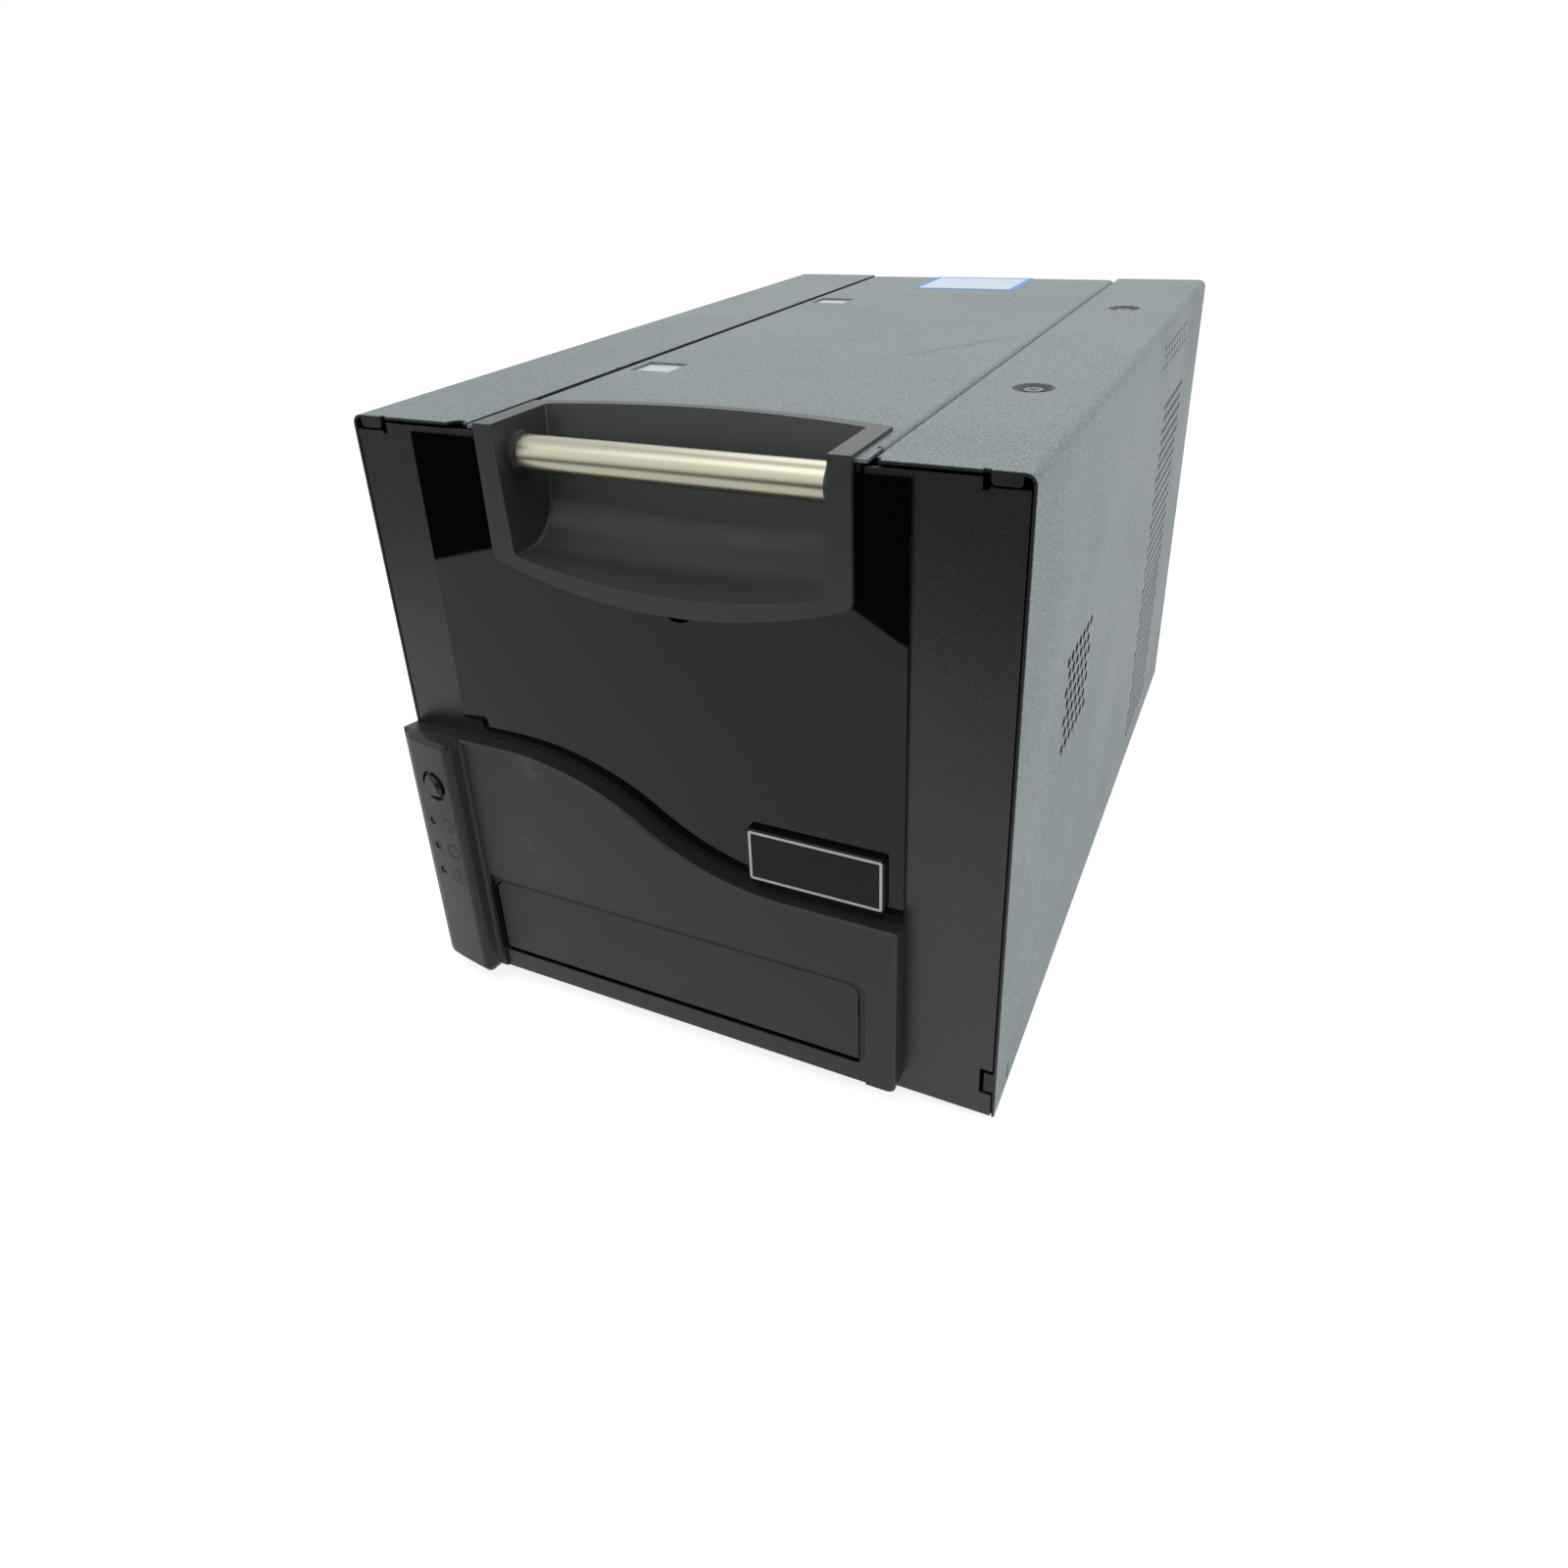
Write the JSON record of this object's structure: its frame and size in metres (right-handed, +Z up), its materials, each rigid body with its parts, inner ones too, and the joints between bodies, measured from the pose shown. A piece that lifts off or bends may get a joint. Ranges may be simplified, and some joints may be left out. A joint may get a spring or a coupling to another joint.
{
  "type": "disc printer",
  "caption": "Boxy sheet-metal disc printer with a hinged lid and bar handle, a wavy moulded bezel, a drop-down tray door and a sliding disc tray.",
  "frame": {"origin": "middle of the box that holds the whole printer, in the plane its feet stand on", "axes": "+X to the right seen from the front, -Y is the front, +Z up"},
  "size_m": [0.27, 0.4455, 0.2713],
  "materials": {
    "cover_paint": "fine textured satin paint",
    "dark_paint": "satin",
    "zinc_sheet": "plain zinc plate",
    "bright_steel": "brushed",
    "screw_steel": "satin",
    "bezel_plastic": "satin moulded",
    "slate_plastic": "satin moulded",
    "gloss_black": "high gloss",
    "badge_black": "gloss",
    "label_white": "matt",
    "pad_pale": "matt",
    "lens_amber": "clear moulded",
    "tray_plastic": "satin",
    "inner_plastic": "satin",
    "gear_plastic": "natural nylon",
    "bush_plastic": "natural",
    "lever_green": "satin",
    "foot_rubber": "matt",
    "roller_rubber": "ground",
    "cleaner_rubber": "tacky",
    "hot_roller": "ground",
    "sink_aluminium": "plain",
    "ribbon_film": "film",
    "clear_film": "film",
    "board_green": "lacquered",
    "magnet_black": "matt"
  },
  "bodies": {
    "chassis": {"base_pan": "zinc_sheet", "rubber_feet": "foot_rubber", "left_cover": "cover_paint", "right_cover": "cover_paint", "cover_screws": "screw_steel", "front_sheet": "dark_paint", "rear_panel": "dark_paint", "inner_frame_left": "zinc_sheet", "inner_frame_right": "zinc_sheet", "shaft_bushes": "bush_plastic", "pivot_pins": "bright_steel", "catch_magnets": "magnet_black", "deck": "zinc_sheet", "bezel": "bezel_plastic", "status_lights": "lens_amber", "panel_board": "board_green", "tray_rail_left": "inner_plastic", "tray_rail_right": "inner_plastic", "tray_motor": "screw_steel", "drive_motor": "screw_steel", "motor_bracket": "zinc_sheet", "arm_shaft": "bright_steel", "power_supply": "screw_steel", "power_inlet": "inner_plastic", "switch_housing": "inner_plastic", "main_board": "board_green", "data_port": "bright_steel", "fan_frame": "inner_plastic"},
    "lid": {"lid_sheet": "cover_paint", "lid_inner_frame": "zinc_sheet", "catch_strikes": "bright_steel", "window_pads": "pad_pale", "blank_label": "label_white", "handle_housing": "slate_plastic", "handle_bar": "bright_steel", "gloss_panel": "gloss_black", "badge_plate": "badge_black"},
    "tray": {"disc_tray": "tray_plastic", "tray_hub": "inner_plastic"},
    "door": {"tray_door": "bezel_plastic"},
    "button": {"operator_button": "bezel_plastic"},
    "tray_drive": {"tray_pinion": "gear_plastic"},
    "transfer": {"transfer_roller": "hot_roller"},
    "platen": {"platen_roller": "roller_rubber", "platen_gear": "gear_plastic"},
    "cleaner": {"cleaning_roller": "cleaner_rubber"},
    "platen_drive": {"drive_pinion": "gear_plastic"},
    "ribbon_supply": {"ribbon_supply_spool": "ribbon_film"},
    "ribbon_takeup": {"ribbon_takeup_spool": "ribbon_film"},
    "film_supply": {"film_supply_spool": "clear_film"},
    "film_takeup": {"film_takeup_spool": "clear_film"},
    "head_arm": {"print_arm": "zinc_sheet", "print_head": "inner_plastic", "heat_sink": "sink_aluminium", "release_lever": "lever_green"},
    "rocker": {"power_rocker": "inner_plastic"},
    "rotor": {"fan_rotor": "inner_plastic"}
  },
  "joints": [
    {"name": "lid_hinge", "type": "hinge", "parent": "chassis", "child": "lid", "pos_m": [0, 0.21025, 0.2578], "axis": [-1, 0, 0], "range_deg": [0, 80]},
    {"name": "tray_slide", "type": "slide", "parent": "chassis", "child": "tray", "axis": [0, -1, 0], "range_m": [0, 0.22]},
    {"name": "door_hinge", "type": "hinge", "parent": "chassis", "child": "door", "pos_m": [0, -0.21175, 0.0211], "axis": [1, 0, 0], "range_deg": [0, 90]},
    {"name": "button_press", "type": "slide", "parent": "chassis", "child": "button", "axis": [0.1736, 0.9848, 0], "range_m": [0, 0.0015], "stiffness_N_per_m": 400},
    {"name": "tray_pinion_spin", "type": "hinge", "parent": "chassis", "child": "tray_drive", "pos_m": [0, -0.11375, 0.0394], "axis": [1, 0, 0], "range_deg": [-1, 1052]},
    {"name": "transfer_spin", "type": "hinge", "parent": "chassis", "child": "transfer", "pos_m": [0, -0.05575, 0.082], "axis": [1, 0, 0], "continuous": true},
    {"name": "platen_spin", "type": "hinge", "parent": "chassis", "child": "platen", "pos_m": [0, -0.05575, 0.15], "axis": [1, 0, 0], "continuous": true},
    {"name": "cleaner_spin", "type": "hinge", "parent": "chassis", "child": "cleaner", "pos_m": [0, -0.10575, 0.0708], "axis": [1, 0, 0], "continuous": true},
    {"name": "drive_pinion_spin", "type": "hinge", "parent": "chassis", "child": "platen_drive", "pos_m": [0, -0.01975, 0.15], "axis": [1, 0, 0], "continuous": true},
    {"name": "ribbon_supply_spin", "type": "hinge", "parent": "chassis", "child": "ribbon_supply", "pos_m": [0, -0.11075, 0.195], "axis": [1, 0, 0], "continuous": true},
    {"name": "ribbon_takeup_spin", "type": "hinge", "parent": "chassis", "child": "ribbon_takeup", "pos_m": [0, 0.10425, 0.2], "axis": [1, 0, 0], "continuous": true},
    {"name": "film_supply_spin", "type": "hinge", "parent": "chassis", "child": "film_supply", "pos_m": [0, -0.10775, 0.125], "axis": [1, 0, 0], "continuous": true},
    {"name": "film_takeup_spin", "type": "hinge", "parent": "chassis", "child": "film_takeup", "pos_m": [0, 0.01925, 0.11], "axis": [1, 0, 0], "continuous": true},
    {"name": "head_arm_pivot", "type": "hinge", "parent": "chassis", "child": "head_arm", "pos_m": [0, 0.03925, 0.19], "axis": [-1, 0, 0], "range_deg": [0, 25]},
    {"name": "rocker_pivot", "type": "hinge", "parent": "chassis", "child": "rocker", "pos_m": [0.11, 0.21765, 0.072], "axis": [0, 0, -1], "range_deg": [0, 14]},
    {"name": "fan_spin", "type": "hinge", "parent": "chassis", "child": "rotor", "pos_m": [0.0022, 0.20425, 0.154], "axis": [0, 1, 0], "continuous": true}
  ],
  "couplings": [
    {"joint": "tray_pinion_spin", "follows": "tray_slide", "rad_per_m": 83.333},
    {"joint": "door_hinge", "follows": "tray_slide", "rad_per_m": 7.14},
    {"joint": "drive_pinion_spin", "follows": "platen_spin", "ratio": -2}
  ]
}
